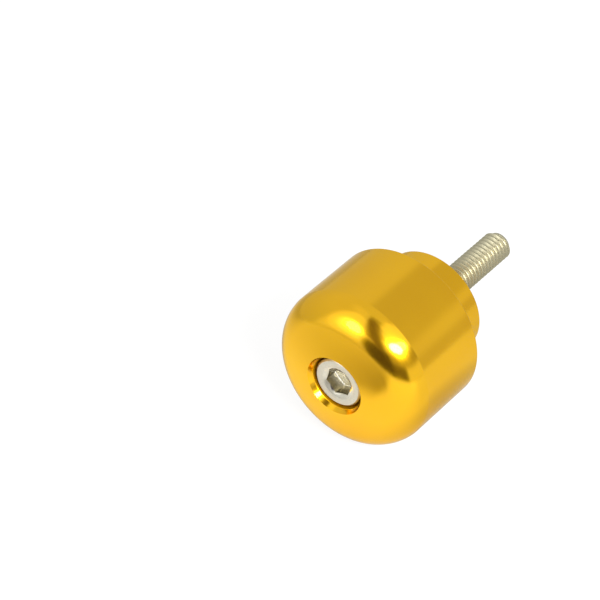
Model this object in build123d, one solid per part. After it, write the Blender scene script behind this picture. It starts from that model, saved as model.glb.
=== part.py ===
# Bar end weight for a motorbike handlebar: a turned aluminium weight and the cap screw that holds it.
# Millimetres. The origin is the centre of the collar's rear face, where the weight meets the bar end.
# +X runs out along the axis to the nose, +Z is up, and the screw's thread points along -X.
from build123d import *
import math
import os

# Driving sizes of the weight
body_diameter = 31.6
body_cylinder_length = 15.6
collar_diameter = 21.2
collar_length = 8.2
edge_break = 0.3
nose_edge_turn = 8.0
nose_shoulder_radius = 6.6
nose_crown_radius = 37.0

# Driving sizes of the M6 hexagon socket head cap screw
thread_diameter = 5.85
thread_run_out = 2.7
tip_chamfer = 0.65
shank_diameter = 5.3
screw_length = 45.0
head_diameter = 9.8
head_height = 6.0
head_edge_break = 0.3
head_fillet = 0.25
socket_width = 5.0
socket_depth = 3.0
socket_mouth_diameter = 6.8
socket_mouth_angle = 120.0
socket_floor_angle = 150.0
socket_turn = 16.5

# Fits between the screw and the weight
bore_clearance = 0.75
head_clearance = 1.0
head_recess = 1.05
recess_mouth_width = 0.55
recess_mouth_angle = 60.0

# Radii that follow from the driving sizes
body_radius = body_diameter / 2
collar_radius = collar_diameter / 2
thread_radius = thread_diameter / 2
shank_radius = shank_diameter / 2
head_radius = head_diameter / 2
bore_radius = (thread_diameter + bore_clearance) / 2
recess_radius = (head_diameter + head_clearance) / 2
recess_rim_radius = recess_radius + recess_mouth_width

# The shoulder arc leaves the cylinder at a slight edge and runs tangent into the crown,
# whose centre is on the axis
nose_start = collar_length + body_cylinder_length
edge_turn = math.radians(nose_edge_turn)
shoulder_x = nose_start - nose_shoulder_radius * math.sin(edge_turn)
shoulder_r = body_radius - nose_shoulder_radius * math.cos(edge_turn)
crown_slope = math.asin(shoulder_r / (nose_crown_radius - nose_shoulder_radius))
crown_x = shoulder_x - (nose_crown_radius - nose_shoulder_radius) * math.cos(crown_slope)
rim_slope = math.asin(recess_rim_radius / nose_crown_radius)
rim_x = crown_x + nose_crown_radius * math.cos(rim_slope)
recess_mouth_depth = recess_mouth_width / math.tan(math.radians(recess_mouth_angle / 2))

# Places of the screw along the axis, from the rim of its recess inwards
head_face_x = rim_x - head_recess
head_seat_x = head_face_x - head_height
tip_x = head_seat_x - screw_length


def on_shoulder(turn):
    # A point of the shoulder arc, where turn is the slope of the outline against the axis
    return (
        shoulder_x + nose_shoulder_radius * math.sin(turn),
        shoulder_r + nose_shoulder_radius * math.cos(turn),
    )


def on_crown(slope):
    # A point of the crown arc, where slope is its angle from the axis at the crown's centre
    return (
        crown_x + nose_crown_radius * math.cos(slope),
        nose_crown_radius * math.sin(slope),
    )


def turned(edges):
    # A solid of revolution about the X axis from a closed outline of edges in the XZ plane
    return revolve(Plane.XZ * make_face(edges), axis=Axis.X)


def weight_body():
    # Turned weight: collar, cylinder and nose outside, bore and countersunk screw recess inside
    shoulder_end = math.pi / 2 - crown_slope
    shoulder_start_point = on_shoulder(edge_turn)
    shoulder_end_point = on_shoulder(shoulder_end)
    rim_point = on_crown(rim_slope)
    recess_mouth_point = (rim_x - recess_mouth_depth, recess_radius)
    bore_mouth_point = (0, bore_radius + edge_break)
    behind_nose = Polyline(
        bore_mouth_point,
        (0, collar_radius - edge_break),
        (edge_break, collar_radius),
        (collar_length, collar_radius),
        (collar_length, body_radius - edge_break),
        (collar_length + edge_break, body_radius),
        shoulder_start_point,
    )
    shoulder = ThreePointArc(
        shoulder_start_point,
        on_shoulder((edge_turn + shoulder_end) / 2),
        shoulder_end_point,
    )
    crown = ThreePointArc(
        shoulder_end_point,
        on_crown((crown_slope + rim_slope) / 2),
        rim_point,
    )
    inside = Polyline(
        rim_point,
        recess_mouth_point,
        (head_seat_x, recess_radius),
        (head_seat_x, bore_radius),
        (edge_break, bore_radius),
        bore_mouth_point,
    )
    return turned(behind_nose.edges() + [shoulder, crown] + inside.edges())


def cap_screw():
    # Cap screw: chamfered tip, thread at its outside diameter, run-out, plain shank and socket head
    fillet_start_point = (head_seat_x - head_fillet, shank_radius)
    fillet_end_point = (head_seat_x, shank_radius + head_fillet)
    fillet_inset = head_fillet * (1 - math.sqrt(0.5))
    stem = Polyline(
        (tip_x, 0),
        (tip_x, thread_radius - tip_chamfer),
        (tip_x + tip_chamfer, thread_radius),
        (0, thread_radius),
        (thread_run_out, shank_radius),
        fillet_start_point,
    )
    under_head = ThreePointArc(
        fillet_start_point,
        (head_seat_x - fillet_inset, shank_radius + fillet_inset),
        fillet_end_point,
    )
    head = Polyline(
        fillet_end_point,
        (head_seat_x, head_radius),
        (head_face_x - head_edge_break, head_radius),
        (head_face_x, head_radius - head_edge_break),
        (head_face_x, 0),
        (tip_x, 0),
    )
    blank = turned(stem.edges() + [under_head] + head.edges())
    return blank - hexagon_socket()


def hexagon_socket():
    # Hexagon pocket with a conical mouth and a shallow conical floor
    face = Plane(origin=(head_face_x, 0, 0), x_dir=(0, 1, 0), z_dir=(1, 0, 0))
    outline = RegularPolygon(socket_width / 2, 6, major_radius=False, rotation=socket_turn)
    pocket = extrude(face * outline, amount=-socket_depth)
    mouth = pointed_cone(head_face_x, socket_mouth_diameter / 2, socket_mouth_angle)
    floor = pointed_cone(head_face_x - socket_depth, socket_width / 2, socket_floor_angle)
    return pocket + mouth + floor


def pointed_cone(base_x, base_radius, point_angle):
    # A cone on the axis, with its base at base_x and its point towards -X
    height = base_radius / math.tan(math.radians(point_angle / 2))
    outline = Polyline((base_x, 0), (base_x, base_radius), (base_x - height, 0), (base_x, 0))
    return turned(outline.edges())


os.makedirs("parts", exist_ok=True)
export_step(weight_body(), "parts/weight_body.step")
export_step(cap_screw(), "parts/cap_screw.step")
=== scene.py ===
# Bar end weight for a motorbike handlebar: a gold anodised turned weight and the cap screw that holds it.
# Metres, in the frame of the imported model: +X out along the axis to the nose, +Z up, the thread along -X.
import math

import bpy
from mathutils import Matrix, Vector


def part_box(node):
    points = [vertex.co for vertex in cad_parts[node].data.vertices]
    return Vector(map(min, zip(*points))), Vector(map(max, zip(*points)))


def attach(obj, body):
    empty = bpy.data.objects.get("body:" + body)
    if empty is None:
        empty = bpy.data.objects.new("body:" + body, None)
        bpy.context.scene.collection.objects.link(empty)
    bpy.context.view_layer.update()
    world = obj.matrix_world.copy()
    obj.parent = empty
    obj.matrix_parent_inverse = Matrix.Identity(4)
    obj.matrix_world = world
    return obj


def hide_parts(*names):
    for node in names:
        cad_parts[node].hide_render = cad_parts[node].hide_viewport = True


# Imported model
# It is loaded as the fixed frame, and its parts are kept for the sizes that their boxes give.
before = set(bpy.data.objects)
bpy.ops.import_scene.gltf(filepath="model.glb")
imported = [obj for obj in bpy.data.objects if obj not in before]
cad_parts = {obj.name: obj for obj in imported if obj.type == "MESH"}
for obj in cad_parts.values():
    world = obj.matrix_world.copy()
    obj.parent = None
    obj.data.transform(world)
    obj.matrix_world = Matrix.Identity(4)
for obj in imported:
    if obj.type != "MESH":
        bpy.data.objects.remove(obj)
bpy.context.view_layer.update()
mm = 0.001

# Weight
# One piece turned from aluminium bar: collar, cylinder and rounded nose, bored through for the screw and
# counterbored in the nose for its head. Polished on the lathe, then anodised gold. The screw clamps it on.
screw_low, screw_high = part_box("cap_screw")
body_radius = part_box("weight_body")[1].z
collar_radius = 10.6 * mm
collar_length = 8.2 * mm
cylinder_length = 15.6 * mm
edge_break = 0.3 * mm
nose_edge_turn = math.radians(8.0)
nose_edge_reach = 0.3 * mm
shoulder_radius = 6.6 * mm
crown_radius = 37.0 * mm
bore_radius = 3.3 * mm
recess_radius = 5.4 * mm
recess_mouth_radius = 5.95 * mm
recess_mouth_slope = math.radians(30.0)
recess_mouth_depth = (recess_mouth_radius - recess_radius) / math.tan(recess_mouth_slope)
head_height = 6.0 * mm
head_seat_x = screw_high.x - head_height
nose_x = collar_length + cylinder_length
nose_edge_radius = body_radius + nose_edge_reach * math.tan(nose_edge_turn)
shoulder_x = nose_x - shoulder_radius * math.sin(nose_edge_turn)
shoulder_r = body_radius - shoulder_radius * math.cos(nose_edge_turn)
crown_slope = math.asin(shoulder_r / (crown_radius - shoulder_radius))
crown_x = shoulder_x - (crown_radius - shoulder_radius) * math.cos(crown_slope)
mouth_slope = math.asin(recess_mouth_radius / crown_radius)
mouth_x = crown_x + crown_radius * math.cos(mouth_slope)
facing_back = -math.pi / 2
facing_out = 0.0
facing_front = math.pi / 2
edge_steps = 20
shoulder_steps = 32
crown_steps = 16
weight_segments = 256
weight_smooth_angle = math.radians(5.0)
merge_distance = 0.002 * mm


def arc(centre_x, centre_r, radius, start, end, steps):
    # Points of an arc of the outline; angles run from the radial direction towards +X
    turns = [start + (end - start) * k / steps for k in range(steps + 1)]
    return [(centre_x + radius * math.sin(t), centre_r + radius * math.cos(t)) for t in turns]


def turn_on_lathe(name, outline, segments):
    # Draws the outline as a chain of points (x, distance from the axis) and spins it about the X axis
    bpy.ops.object.select_all(action="DESELECT")
    bpy.ops.mesh.primitive_plane_add(size=mm)
    piece = bpy.context.object
    piece.name = name
    piece.data.name = name
    bpy.ops.object.mode_set(mode="EDIT")
    bpy.ops.mesh.merge(type="CENTER")
    bpy.ops.transform.translate(value=(outline[0][0], 0, outline[0][1]))
    for before, after in zip(outline, outline[1:]):
        step = (after[0] - before[0], 0, after[1] - before[1])
        bpy.ops.mesh.extrude_region_move(TRANSFORM_OT_translate={"value": step})
    bpy.ops.mesh.select_all(action="SELECT")
    bpy.ops.mesh.spin(steps=segments, angle=math.tau, center=(0, 0, 0), axis=(1, 0, 0))
    bpy.ops.mesh.select_all(action="SELECT")
    bpy.ops.mesh.remove_doubles(threshold=merge_distance)
    bpy.ops.mesh.normals_make_consistent(inside=False)
    bpy.ops.object.mode_set(mode="OBJECT")
    return piece


# The outline runs from the bore's mouth over collar, cylinder, nose edge, shoulder and crown into the recess.
# The cylinder widens by a hair towards the nose edge.
collar_edge = arc(edge_break, collar_radius - edge_break, edge_break, facing_back, facing_out, edge_steps)
cylinder_edge = arc(
    collar_length + edge_break, body_radius - edge_break, edge_break, facing_back, facing_out, edge_steps
)
shoulder = arc(
    shoulder_x, shoulder_r, shoulder_radius, nose_edge_turn, facing_front - crown_slope, shoulder_steps
)
crown = arc(crown_x, 0, crown_radius, facing_front - crown_slope, facing_front - mouth_slope, crown_steps)
weight_outline = [(0, bore_radius + edge_break)]
weight_outline += collar_edge
weight_outline += [(collar_length, collar_radius)]
weight_outline += cylinder_edge
weight_outline += [(nose_x - nose_edge_reach, nose_edge_radius)]
weight_outline += shoulder
weight_outline += crown[1:]
weight_outline += [
    (mouth_x - recess_mouth_depth, recess_radius),
    (head_seat_x, recess_radius),
    (head_seat_x, bore_radius),
    (edge_break, bore_radius),
    (0, bore_radius + edge_break),
]
weight = turn_on_lathe("turned_weight", weight_outline, weight_segments)
bpy.ops.object.shade_smooth_by_angle(angle=weight_smooth_angle)


def linear(hex_colour):
    # An sRGB hex colour as linear red, green and blue with full opacity
    shares = [int(hex_colour[k:k + 2], 16) / 255 for k in (1, 3, 5)]
    return [s / 12.92 if s <= 0.04045 else ((s + 0.055) / 1.055) ** 2.4 for s in shares] + [1.0]


def add_node(tree, kind, inputs, **settings):
    # Adds a node with its settings; an input that is a socket of another node is linked, any other is set
    node = tree.nodes.new(kind)
    for setting, value in settings.items():
        setattr(node, setting, value)
    for socket, value in inputs.items():
        if isinstance(value, bpy.types.NodeSocket):
            tree.links.new(value, node.inputs[socket])
        else:
            node.inputs[socket].default_value = value
    return node


def new_material(name):
    # An empty node material and its tree
    material = bpy.data.materials.new(name)
    material.use_nodes = True
    material.node_tree.nodes.clear()
    return material, material.node_tree


def calculate(tree, operation, *values):
    # A sum, product or the like of values
    return add_node(tree, "ShaderNodeMath", dict(enumerate(values)), operation=operation).outputs["Value"]


def measure(tree, operation, *vectors):
    # The length of a vector, or the distance or dot product of two
    node = add_node(tree, "ShaderNodeVectorMath", dict(enumerate(vectors)), operation=operation)
    return node.outputs["Value"]


def ramp(tree, value, start, end, at_start=0.0, at_end=1.0):
    # Runs from at_start to at_end while the value runs from start to end, and is level beyond them
    inputs = {"Value": value, "From Min": start, "From Max": end, "To Min": at_start, "To Max": at_end}
    return add_node(tree, "ShaderNodeMapRange", inputs).outputs["Result"]


def noise(tree, place, size, detail):
    # Cloudy noise in patches of about the given size
    inputs = {"Vector": place, "Scale": 1 / size, "Detail": detail}
    return add_node(tree, "ShaderNodeTexNoise", inputs).outputs["Fac"]


def mix_colours(tree, share, first, second):
    # The first colour where the share is 0, the second where it is 1
    inputs = {"Factor": share, "A": first, "B": second}
    return add_node(tree, "ShaderNodeMix", inputs, data_type="RGBA").outputs["Result"]


def turned_place(tree):
    # A point of the surface, its place along the axis and its distance from the axis
    place = add_node(tree, "ShaderNodeTexCoord", {}).outputs["Object"]
    along = add_node(tree, "ShaderNodeSeparateXYZ", {"Vector": place}).outputs["X"]
    across = add_node(tree, "ShaderNodeVectorMath", {0: place, 1: (0, 1, 1)}, operation="MULTIPLY")
    return place, along, measure(tree, "LENGTH", across.outputs["Vector"])


# Gold anodised aluminium, turned and polished: a warm mirror, slightly blurred, with faint rings left by
# the tool and a dye that is a little uneven. The clear film of the anodising gives highlights a white core,
# and the bored wall of the recess is duller.
gold = "#F3BD12"
gold_deep = "#EDB30E"
gold_edge = "#FFF2B8"
dye_patch = 9.0 * mm
turning_mark = 0.22 * mm
mark_low = 0.3
mark_high = 0.7
mark_strength = 0.02
mark_height = 0.02 * mm
polish_smooth = 0.15
polish_rough = 0.2
film_weight = 0.4
film_roughness = 0.06
bored_roughness = 0.55
bored_blend = 0.1 * mm
gold_material, tree = new_material("gold_anodised_aluminium_polished")
place, along, radius = turned_place(tree)
on_outline = add_node(tree, "ShaderNodeCombineXYZ", {"X": along, "Y": radius, "Z": 0.0}).outputs["Vector"]
rings = noise(tree, on_outline, turning_mark, 2.0)
dye = noise(tree, place, dye_patch, 1.0)
colour = mix_colours(tree, dye, linear(gold), linear(gold_deep))
polished = ramp(tree, rings, mark_low, mark_high, polish_smooth, polish_rough)
bored = ramp(tree, radius, recess_radius + bored_blend, recess_radius, 0.0, bored_roughness)
in_nose = calculate(tree, "GREATER_THAN", along, collar_length)
bored_in_nose = calculate(tree, "MULTIPLY", bored, in_nose)
relief = add_node(
    tree, "ShaderNodeBump", {"Height": rings, "Strength": mark_strength, "Distance": mark_height}
)
surface = add_node(
    tree,
    "ShaderNodeBsdfPrincipled",
    {
        "Base Color": colour,
        "Metallic": 1.0,
        "Roughness": calculate(tree, "MAXIMUM", polished, bored_in_nose),
        "Specular Tint": linear(gold_edge),
        "Normal": relief.outputs["Normal"],
        "Coat Weight": film_weight,
        "Coat Roughness": film_roughness,
    },
)
add_node(tree, "ShaderNodeOutputMaterial", {"Surface": surface.outputs["BSDF"]})
weight.data.materials.append(gold_material)
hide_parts("weight_body")
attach(weight, "root")

# Cap screw
# M6 socket head cap screw of stainless steel, 45 mm under its head: forged head with a broached hexagon,
# rolled thread with a short run-out, chamfered tip. Its head sits in the recess of the nose.
tip_x = screw_low.x
head_face_x = screw_high.x
head_radius = screw_high.z
head_edge_break = 0.3 * mm
head_fillet = 0.25 * mm
shank_radius = 2.65 * mm
thread_radius = 2.925 * mm
thread_pitch = 1.0 * mm
thread_depth = 0.61 * mm
thread_root_radius = thread_radius - thread_depth
thread_sharpness = 0.97
thread_end_x = 2.7 * mm
run_out_length = 1.6 * mm
tip_chamfer = 0.65 * mm
thread_start_x = tip_x + tip_chamfer
rings_per_pitch = 32
ring_count = round((thread_end_x - thread_start_x) / thread_pitch * rings_per_pitch)
screw_segments = 108
screw_smooth_angle = math.radians(35.0)
socket_width = 5.0 * mm
socket_depth = 3.0 * mm
socket_turn = math.radians(16.5)
socket_mouth_radius = 3.4 * mm
socket_mouth_slope = math.radians(30.0)
socket_floor_x = head_face_x - socket_depth
socket_floor_radius = 2.4 * mm
socket_floor_slope = math.radians(0.8)
cutter_rise = 0.5 * mm

screw_outline = [(tip_x, 0), (tip_x, thread_radius - tip_chamfer)]
for k in range(ring_count + 1):
    ring_x = thread_start_x + (thread_end_x - thread_start_x) * k / ring_count
    screw_outline.append((ring_x, thread_radius))
screw_outline += [
    (thread_end_x + edge_break, shank_radius),
    (head_seat_x - head_fillet, shank_radius),
    (head_seat_x, shank_radius + head_fillet),
    (head_seat_x, head_radius),
    (head_face_x - head_edge_break, head_radius),
    (head_face_x, head_radius - head_edge_break),
    (head_face_x, 0),
]
screw = turn_on_lathe("socket_cap_screw", screw_outline, screw_segments)


def thread_profile(phase):
    # Share of the thread's depth below its crest, along one pitch: straight flanks, rounded crest and root
    wave = math.asin(thread_sharpness * math.cos(math.tau * phase)) / math.asin(thread_sharpness)
    return 0.5 - 0.5 * wave


# The thread is pressed into the plain blank, and its run-out fades into the shank
for vertex in screw.data.vertices:
    around = math.hypot(vertex.co.y, vertex.co.z)
    if vertex.co.x > thread_end_x + edge_break / 2 or around < thread_root_radius:
        continue
    turn = math.atan2(vertex.co.z, vertex.co.y) / math.tau
    depth = thread_depth * thread_profile(vertex.co.x / thread_pitch + turn)
    fade = min(max((thread_end_x - vertex.co.x) / run_out_length, 0.0), 1.0)
    wanted = min(around, thread_radius - depth * fade - (thread_radius - shank_radius) * (1 - fade))
    vertex.co.y *= wanted / around
    vertex.co.z *= wanted / around


def cut_out(piece, cutter):
    # Takes the cutter's form out of the piece, deletes the cutter and merges doubled points
    bpy.ops.object.select_all(action="DESELECT")
    bpy.context.view_layer.objects.active = piece
    piece.select_set(True)
    cut = piece.modifiers.new("cut", "BOOLEAN")
    cut.operation = "DIFFERENCE"
    cut.solver = "EXACT"
    cut.object = cutter
    bpy.ops.object.modifier_apply(modifier=cut.name)
    bpy.data.objects.remove(cutter)
    bpy.ops.object.mode_set(mode="EDIT")
    bpy.ops.mesh.select_all(action="SELECT")
    bpy.ops.mesh.remove_doubles(threshold=merge_distance)
    bpy.ops.object.mode_set(mode="OBJECT")


# The socket is cut in three steps: the hexagon, its conical mouth and its floor
bpy.ops.mesh.primitive_cylinder_add(
    vertices=6,
    radius=socket_width / math.sqrt(3),
    depth=socket_depth + cutter_rise,
    location=(head_face_x + (cutter_rise - socket_depth) / 2, 0, 0),
    rotation=(0, math.pi / 2, 0),
)
bpy.ops.object.transform_apply(location=True, rotation=True, scale=True)
bpy.ops.object.mode_set(mode="EDIT")
bpy.ops.transform.rotate(value=-socket_turn, orient_axis="X", center_override=(0, 0, 0))
bpy.ops.object.mode_set(mode="OBJECT")
cut_out(screw, bpy.context.object)
socket_mouth_outline = [
    (head_face_x - socket_mouth_radius * math.tan(socket_mouth_slope), 0),
    (head_face_x + cutter_rise, socket_mouth_radius + cutter_rise / math.tan(socket_mouth_slope)),
    (head_face_x + cutter_rise, 0),
]
cut_out(screw, turn_on_lathe("socket_mouth", socket_mouth_outline, screw_segments))
socket_floor_outline = [
    (socket_floor_x - socket_floor_radius * math.tan(socket_floor_slope), 0),
    (socket_floor_x, socket_floor_radius),
    (socket_floor_x + cutter_rise, socket_floor_radius),
    (socket_floor_x + cutter_rise, 0),
]
cut_out(screw, turn_on_lathe("socket_floor", socket_floor_outline, screw_segments))
bpy.ops.object.shade_smooth_by_angle(angle=screw_smooth_angle)

# Stainless steel: the head is pale and satin, and its socket smoother. The broached walls of the socket are
# darkened with painted shade, and its floor is made near white with painted light. The rolled thread is
# duller,
# and its colour is darker and yellower: painted shade and a painted reflection of the gold collar. Each
# finish is a share of the satin's roughness.
steel = "#D9D6C9"
steel_dull = "#C9C5B5"
# Painted shade and a painted reflection of the gold collar: the thread's colours are darker and yellower
thread_steel_painted_reflection = "#BAB69D"
thread_steel_dull_painted_reflection = "#A8A388"
# Painted shade: the socket's walls get a darker colour
socket_wall_painted_shade = "#A8A189"
# Painted light: the socket's floor gets a near white colour
socket_floor_painted_light = "#FAF9F4"
socket_wall_start = 0.5 * mm
socket_blend = 0.15 * mm
socket_mouth_blend = 0.1 * mm
grain = 0.35 * mm
grain_low = 0.3
grain_high = 0.7
satin_smooth = 0.4
satin_rough = 0.52
thread_finish = 1.0
head_finish = 0.85
socket_finish = 0.33
socket_wall_x = head_face_x - socket_wall_start
steel_material, tree = new_material("stainless_steel_satin")
place, along, radius = turned_place(tree)
mottle = noise(tree, place, grain, 3.0)
in_head = ramp(tree, along, thread_end_x, head_seat_x)
in_socket = ramp(tree, radius, socket_mouth_radius, socket_mouth_radius - socket_mouth_blend)
below_mouth = ramp(tree, along, socket_wall_x + socket_blend, socket_wall_x - socket_blend)
at_floor = ramp(tree, along, socket_floor_x + socket_blend, socket_floor_x)
painted_shade_on_wall = calculate(tree, "MULTIPLY", below_mouth, in_socket)
painted_light_on_floor = calculate(tree, "MULTIPLY", at_floor, in_socket)
head_colour = mix_colours(tree, mottle, linear(steel), linear(steel_dull))
# Painted shade on the socket's walls
head_colour = mix_colours(tree, painted_shade_on_wall, head_colour, linear(socket_wall_painted_shade))
# Painted light on the socket's floor
head_colour = mix_colours(tree, painted_light_on_floor, head_colour, linear(socket_floor_painted_light))
# The thread's colour, with its painted shade and painted reflection of the gold collar
thread_colour_painted_reflection = mix_colours(tree, mottle, linear(thread_steel_painted_reflection), linear(thread_steel_dull_painted_reflection))
colour = mix_colours(tree, in_head, thread_colour_painted_reflection, head_colour)
satin = ramp(tree, mottle, grain_low, grain_high, satin_smooth, satin_rough)
finish = ramp(tree, in_socket, 0.0, 1.0, head_finish, socket_finish)
finish = add_node(
    tree, "ShaderNodeMix", {"Factor": in_head, "A": thread_finish, "B": finish}, data_type="FLOAT"
).outputs["Result"]
surface = add_node(
    tree,
    "ShaderNodeBsdfPrincipled",
    {"Base Color": colour, "Metallic": 1.0, "Roughness": calculate(tree, "MULTIPLY", satin, finish)},
)
add_node(tree, "ShaderNodeOutputMaterial", {"Surface": surface.outputs["BSDF"]})
screw.data.materials.append(steel_material)
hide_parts("cap_screw")
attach(screw, "root")

# Floor
# A plain white table under the weight. It shows white to the camera and keeps a faint shadow of the weight.
# The metal mirrors it with painted shade behind the weight, far off and close beside it, and with a painted
# shadow in a wedge that opens before the nose.
floor_size = 0.44
floor_z = -nose_edge_radius
floor_white = 0.88
table_white = "#FBFBF9"
# Painted shadow: the colour of the wedge that the metal mirrors before the nose
table_painted_shadow = "#9C9892"
painted_shade_colour = "#000000"
shadow_wedge_x = 45.0 * mm
shadow_wedge_y = 1.5 * mm
shadow_wedge_edge = math.radians(25.4)
shadow_wedge_edge_soft = math.radians(7.0)
shadow_wedge_fade = math.radians(-110.0)
shadow_wedge_start = 4.0 * mm
shadow_wedge_full = 18.0 * mm
shadow_wedge_full_end = 30.0 * mm
shadow_wedge_end = 250.0 * mm
lit_towards = (0.8, 0.6, 0.0)
lit_from = -55.0 * mm
lit_to = 10.0 * mm
lit_shade = 0.36
behind_shade = 0.64
far_from = 90.0 * mm
far_to = 220.0 * mm
far_shade = 0.5
beside_x = 10.0 * mm
beside_y = 8.0 * mm
near_from = 8.0 * mm
near_to = 28.0 * mm
near_shade = 0.2
side_from = 8.0 * mm
side_to = 22.0 * mm
side_end = 40.0 * mm
side_full = 20.0 * mm
side_shade = 0.12
bpy.ops.object.select_all(action="DESELECT")
bpy.ops.mesh.primitive_plane_add(size=floor_size, location=(0, 0, floor_z))
bpy.ops.object.transform_apply(location=True, rotation=True, scale=True)
floor = bpy.context.object
floor.name = "floor"
floor_material, tree = new_material("white_table")
path = add_node(tree, "ShaderNodeLightPath", {}).outputs
seen = calculate(tree, "ADD", path["Is Camera Ray"], path["Is Transmission Ray"])
place = add_node(tree, "ShaderNodeTexCoord", {}).outputs["Object"]
spot = add_node(tree, "ShaderNodeSeparateXYZ", {"Vector": place}).outputs

# The painted shadow wedge: headings and distances are counted from its point
from_point = add_node(
    tree, "ShaderNodeVectorMath", {0: place, 1: (shadow_wedge_x, shadow_wedge_y, floor_z)}, operation="SUBTRACT"
).outputs["Vector"]
offset = add_node(tree, "ShaderNodeSeparateXYZ", {"Vector": from_point}).outputs
heading = calculate(tree, "ARCTAN2", offset["Y"], offset["X"])
distance = measure(tree, "LENGTH", from_point)
wedge_limits = [
    ramp(tree, heading, shadow_wedge_edge + shadow_wedge_edge_soft, shadow_wedge_edge - shadow_wedge_edge_soft),
    ramp(tree, heading, shadow_wedge_fade, shadow_wedge_edge),
    ramp(tree, distance, shadow_wedge_start, shadow_wedge_full),
    ramp(tree, distance, shadow_wedge_end, shadow_wedge_full_end),
]
painted_shadow = path["Is Glossy Ray"]
for limit in wedge_limits:
    painted_shadow = calculate(tree, "MULTIPLY", painted_shadow, limit)
# The table's colour gets the painted shadow in the wedge, for glossy rays only
table = mix_colours(tree, painted_shadow, linear(table_white), linear(table_painted_shadow))

# The shade: behind the weight or far off, and on top of that close beside it
ahead = measure(tree, "DOT_PRODUCT", place, lit_towards)
behind = ramp(tree, ahead, lit_to, lit_from, lit_shade, behind_shade)
far = ramp(tree, measure(tree, "LENGTH", place), far_from, far_to, 0.0, far_shade)
beside = measure(tree, "DISTANCE", place, (beside_x, beside_y, floor_z))
near = ramp(tree, beside, near_from, near_to, near_shade, 0.0)
side = ramp(tree, spot["Y"], side_from, side_to, 0.0, side_shade)
behind_nose = ramp(tree, spot["X"], side_end, side_full)
side_behind_nose = calculate(tree, "MULTIPLY", side, behind_nose)
shade = calculate(tree, "MAXIMUM", behind, far)
close = calculate(tree, "ADD", near, side_behind_nose)
shade = calculate(tree, "ADD", shade, close)
shade = calculate(tree, "MULTIPLY", path["Is Glossy Ray"], shade)
# Painted shade on the table, for glossy rays only
shaded = mix_colours(tree, shade, table, linear(painted_shade_colour))
matt = add_node(tree, "ShaderNodeBsdfDiffuse", {"Color": shaded})
white = add_node(tree, "ShaderNodeEmission", {"Color": linear("#FFFFFF"), "Strength": 1.0})
mixed = add_node(
    tree,
    "ShaderNodeMixShader",
    {
        0: calculate(tree, "MULTIPLY", seen, floor_white),
        1: matt.outputs["BSDF"],
        2: white.outputs["Emission"],
    },
)
add_node(tree, "ShaderNodeOutputMaterial", {"Surface": mixed.outputs["Shader"]})
floor_material.cycles.emission_sampling = "NONE"
floor.data.materials.append(floor_material)

# Studio
# Two softboxes, and a pale room with dark cards on the camera's side that the metal mirrors. Directions
# are azimuth and elevation in degrees, the azimuth counted from the camera's own.
camera_azimuth = 127.282
camera_elevation = 39.428
lamp_distance = 1.0
plain_light = 0.72
room_low = "#DADADA"
room_high = "#EAEAEA"
room_high_from = 40.0


def direction(azimuth, elevation):
    # Unit vector from the weight towards an azimuth, counted from the camera's, and an elevation in degrees
    turn = math.radians(camera_azimuth + azimuth)
    lift = math.radians(elevation)
    return Vector((math.sin(turn) * math.cos(lift), -math.cos(turn) * math.cos(lift), math.sin(lift)))


def softbox(name, azimuth, elevation, width, height, brightness):
    # An oval lamp that faces the weight; width and height are the angles that it fills
    towards = direction(azimuth, elevation)
    lamp = bpy.data.lights.new(name, "AREA")
    lamp.shape = "ELLIPSE"
    lamp.size = 2 * lamp_distance * math.tan(math.radians(width / 2))
    lamp.size_y = 2 * lamp_distance * math.tan(math.radians(height / 2))
    lamp.energy = brightness * math.pi * (math.pi / 4 * lamp.size * lamp.size_y)
    holder = bpy.data.objects.new(name, lamp)
    holder.location = towards * lamp_distance
    holder.rotation_euler = towards.to_track_quat("Z", "Y").to_euler()
    holder.visible_camera = False
    bpy.context.scene.collection.objects.link(holder)


# Each softbox is brighter towards its middle, as three ovals one in another
softbox("softbox_right", 48, 51, 72, 44, 0.3)
softbox("softbox_right_inner", 42, 40, 46, 13, 8)
softbox("softbox_right_middle", 28, 38, 31, 15, 34)
softbox("softbox_left", -61, 35, 46, 72, 0.25)
softbox("softbox_left_inner", -57, 29, 32, 44, 0.5)
softbox("softbox_left_middle", -54, 34, 18, 24, 6.5)

world = bpy.data.worlds.new("studio")
bpy.context.scene.world = world
world.use_nodes = True
world.cycles.sampling_method = "NONE"
tree = world.node_tree
tree.nodes.clear()
place = add_node(tree, "ShaderNodeTexCoord", {}).outputs["Generated"]
turned = add_node(
    tree,
    "ShaderNodeVectorRotate",
    {"Vector": place, "Angle": math.radians(-camera_azimuth)},
    rotation_type="Z_AXIS",
).outputs["Vector"]
part = add_node(tree, "ShaderNodeSeparateXYZ", {"Vector": turned}).outputs
back = calculate(tree, "MULTIPLY", part["Y"], -1.0)
azimuth = calculate(tree, "ARCTAN2", part["X"], back)
elevation = calculate(tree, "ARCSINE", part["Z"])


def within(value, middle, half, soft):
    # 1 where the angle lies within half of the middle, falling to 0 over a soft edge
    off = calculate(tree, "SUBTRACT", value, math.radians(middle))
    edge = add_node(
        tree,
        "ShaderNodeMapRange",
        {
            "Value": calculate(tree, "ABSOLUTE", off),
            "From Min": math.radians(half - soft),
            "From Max": math.radians(half + soft),
            "To Min": 1.0,
            "To Max": 0.0,
        },
        interpolation_type="SMOOTHSTEP",
    )
    return edge.outputs["Result"]


height_share = ramp(tree, elevation, 0.0, math.radians(room_high_from))
room = mix_colours(tree, height_share, linear(room_low), linear(room_high))
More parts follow.
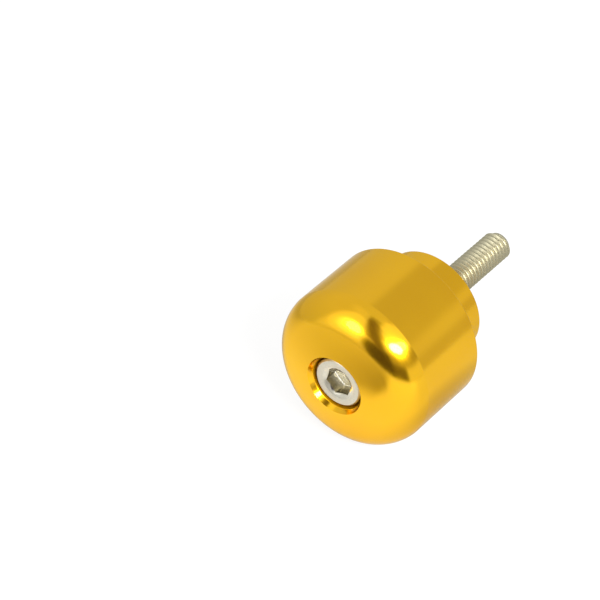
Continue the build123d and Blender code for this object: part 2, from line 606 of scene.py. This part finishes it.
# Each patch: azimuth, elevation, half width, half height, soft edge, colour
patches = [
    (-90, 82, 62, 16, 8, "#F9F9F9"),
    (14, 84, 48, 12, 6, "#B8B5B1"),
    (122, 43, 38, 18, 5, "#D6D4D1"),
    (97, 14, 22, 8, 4, "#EEEEEE"),
    (97, 1, 20, 7, 5, "#DBD8D4"),
    (47, 51, 47, 20, 4, "#FFFFFF"),
    (-61, 35, 26, 39, 5, "#FFFFFF"),
    (43, 17, 45, 10, 4, "#B2ACA6"),
    (57, 3, 25, 9, 4, "#FFFFFF"),
    (13, 2, 20, 11, 4, "#726967"),
    (-22, 54, 16, 30, 4, "#786A72"),
    (-2, 64, 10, 19, 4, "#7E7078"),
    (4, 72, 16, 11, 5, "#8A7E84"),
    (-22, 9, 22, 16, 3, "#564E5C"),
    (-31, 31, 6, 3, 2, "#DDD6CE"),
]
for middle, height, half_width, half_height, soft, tone in patches:
    in_width = within(azimuth, middle, half_width, soft)
    in_height = within(elevation, height, half_height, soft)
    inside = calculate(tree, "MULTIPLY", in_width, in_height)
    room = mix_colours(tree, inside, room, linear(tone))

# The metal mirrors the room, the camera sees plain white, and all else is lit evenly
path = add_node(tree, "ShaderNodeLightPath", {}).outputs
seen = calculate(tree, "ADD", path["Is Camera Ray"], path["Is Transmission Ray"])
plain = add_node(tree, "ShaderNodeBackground", {"Color": linear("#FFFFFF"), "Strength": plain_light})
mirrored = add_node(tree, "ShaderNodeBackground", {"Color": room, "Strength": 1.0})
backdrop = add_node(tree, "ShaderNodeBackground", {"Color": linear("#FFFFFF"), "Strength": 1.0})
lit = add_node(
    tree,
    "ShaderNodeMixShader",
    {0: path["Is Glossy Ray"], 1: plain.outputs["Background"], 2: mirrored.outputs["Background"]},
)
shown = add_node(
    tree,
    "ShaderNodeMixShader",
    {0: seen, 1: lit.outputs["Shader"], 2: backdrop.outputs["Background"]},
)
add_node(tree, "ShaderNodeOutputWorld", {"Surface": shown.outputs["Shader"]})

# Camera
# It looks down on the nose from the front right, at the distance that gives the photograph's perspective.
camera_place = Vector((353.541, 238.265, 349.951)) * mm
camera_roll = 0.28
camera_data = bpy.data.cameras.new("camera")
camera_data.lens = 178.9
camera_data.sensor_width = 36.0
camera_data.clip_start = 0.01
camera = bpy.data.objects.new("camera", camera_data)
camera.matrix_world = (
    Matrix.Translation(camera_place)
    @ Matrix.Rotation(math.radians(camera_azimuth), 4, "Z")
    @ Matrix.Rotation(math.radians(90 - camera_elevation), 4, "X")
    @ Matrix.Rotation(math.radians(camera_roll), 4, "Z")
)
bpy.context.scene.collection.objects.link(camera)
bpy.context.scene.camera = camera
bpy.context.scene.view_settings.view_transform = "Standard"
